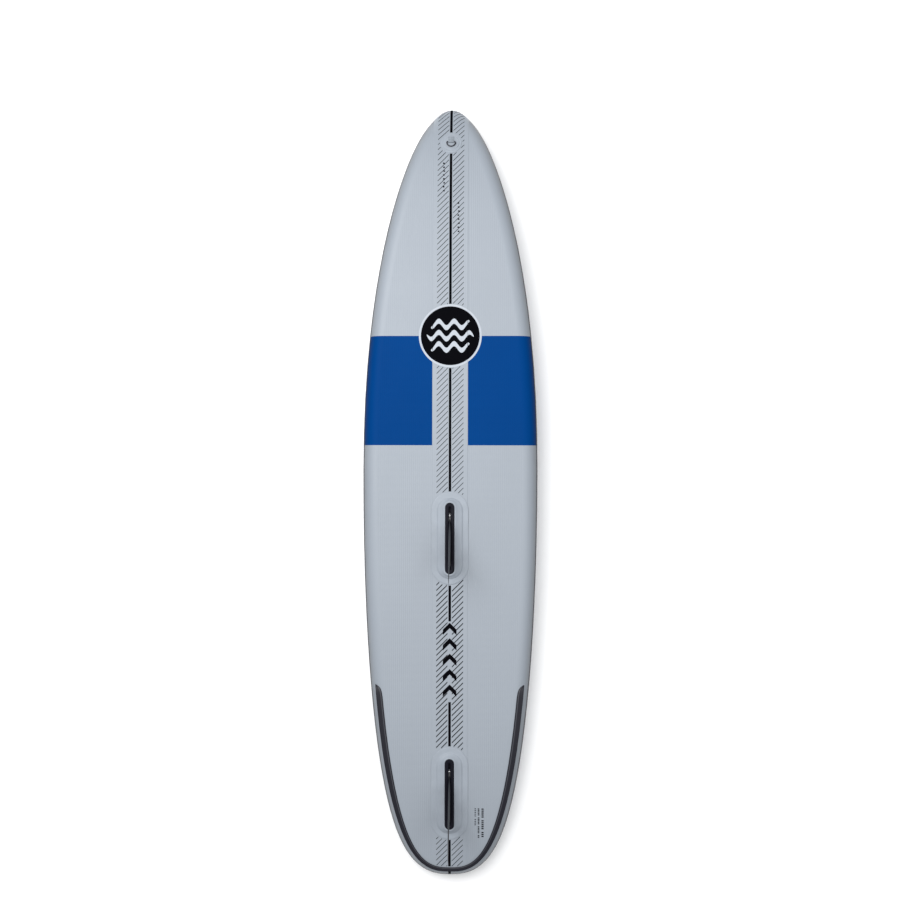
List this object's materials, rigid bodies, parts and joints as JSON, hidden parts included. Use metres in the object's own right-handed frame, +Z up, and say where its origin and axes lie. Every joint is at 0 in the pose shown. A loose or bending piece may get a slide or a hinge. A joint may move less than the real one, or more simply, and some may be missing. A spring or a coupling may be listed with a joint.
{
  "type": "stand up paddleboard",
  "caption": "Inflatable stand up paddleboard lying deck down, with rocker, round rails, fin boxes with sliding fins, tail release edge, tow and leash rings, handle and inflation valve.",
  "frame": {"origin": "centre of the plan, on the floor the board lies on deck down", "axes": "+Y toward the nose, +Z up out of the bottom skin, +X to the right of the bottom seen with the nose up"},
  "size_m": [0.7482, 3.3341, 0.423],
  "materials": {
    "core_fabric": "matt woven",
    "hull_pvc": "satin coated fabric",
    "charcoal_pvc": "satin",
    "release_pvc": "satin",
    "eva_foam": "matt foam",
    "moulded_pvc": "satin",
    "black_nylon": "satin",
    "fin_black": "satin",
    "brass_pin": "turned",
    "steel": "polished stainless",
    "webbing_grey": "woven webbing",
    "webbing_black": "woven webbing",
    "valve_plastic": "satin",
    "seal_rubber": "matt",
    "neoprene": "matt foam sleeve"
  },
  "bodies": {
    "hull": {"dropstitch_core": "core_fabric", "bottom_skin": "hull_pvc", "deck_skin": "hull_pvc", "rail_wall_left": "hull_pvc", "rail_wall_right": "hull_pvc", "rail_band_left": "charcoal_pvc", "rail_band_right": "charcoal_pvc", "stringer_band": "hull_pvc", "tail_release_edge": "release_pvc", "deck_pad": "eva_foam", "mid_fin_patch": "moulded_pvc", "rear_fin_patch": "moulded_pvc", "mid_fin_box": "black_nylon", "rear_fin_box": "black_nylon", "tow_patch": "moulded_pvc", "tow_strap": "webbing_grey", "leash_patch": "charcoal_pvc", "leash_strap": "webbing_black", "valve_body": "valve_plastic", "valve_seal": "seal_rubber", "valve_nut": "valve_plastic", "valve_spring": "steel", "handle_patch_front": "charcoal_pvc", "handle_patch_rear": "charcoal_pvc", "mast_plate": "charcoal_pvc", "mast_insert": "steel"},
    "mid_fin": {"mid_fin": "fin_black", "mid_fin_pin": "brass_pin", "mid_fin_nut": "steel"},
    "mid_screw": {"mid_fin_screw": "steel"},
    "rear_fin": {"rear_fin": "fin_black", "rear_fin_pin": "brass_pin", "rear_fin_nut": "steel"},
    "rear_screw": {"rear_fin_screw": "steel"},
    "tow_ring": {"tow_ring": "steel"},
    "leash_ring": {"leash_ring": "steel"},
    "carry_handle": {"handle_strap": "webbing_black", "handle_grip": "neoprene"},
    "valve_plunger": {"valve_plunger": "valve_plastic", "valve_poppet": "seal_rubber"},
    "valve_cap": {"valve_cap": "valve_plastic"}
  },
  "joints": [
    {"name": "mid_fin_slide", "type": "slide", "parent": "hull", "child": "mid_fin", "axis": [0, 0.9989, 0.0468], "range_m": [-0.01, 0.018]},
    {"name": "mid_screw_turn", "type": "hinge", "parent": "mid_fin", "child": "mid_screw", "pos_m": [0, -0.12247, 0.23975], "axis": [0, -0.0468, 0.9989], "continuous": true},
    {"name": "rear_fin_slide", "type": "slide", "parent": "hull", "child": "rear_fin", "axis": [0, 0.9959, 0.0904], "range_m": [-0.01, 0.018]},
    {"name": "rear_screw_turn", "type": "hinge", "parent": "rear_fin", "child": "rear_screw", "pos_m": [0, -1.2076, 0.18549], "axis": [0, -0.0904, 0.9959], "continuous": true},
    {"name": "tow_ring_swing", "type": "hinge", "parent": "hull", "child": "tow_ring", "pos_m": [0, 1.49616, 0.18851], "axis": [-1, 0, 0], "range_deg": [0, 150]},
    {"name": "leash_ring_swing", "type": "hinge", "parent": "hull", "child": "leash_ring", "pos_m": [0, -1.21438, 0.03129], "axis": [1, 0, 0], "range_deg": [-88, 60]},
    {"name": "handle_swing", "type": "hinge", "parent": "hull", "child": "carry_handle", "pos_m": [0, -0.02656, 0.09417], "axis": [0, 0.9989, 0.0468], "range_deg": [-50, 50]},
    {"name": "valve_push", "type": "slide", "parent": "hull", "child": "valve_plunger", "axis": [0, -0.1047, 0.9945], "range_m": [0, 0.004], "stiffness_N_per_m": 300, "springref_m": -0.01},
    {"name": "valve_cap_turn", "type": "hinge", "parent": "hull", "child": "valve_cap", "pos_m": [-0.092, -1.40577, 0.02268], "axis": [0, 0.1047, -0.9945], "range_deg": [0, 90]}
  ]
}
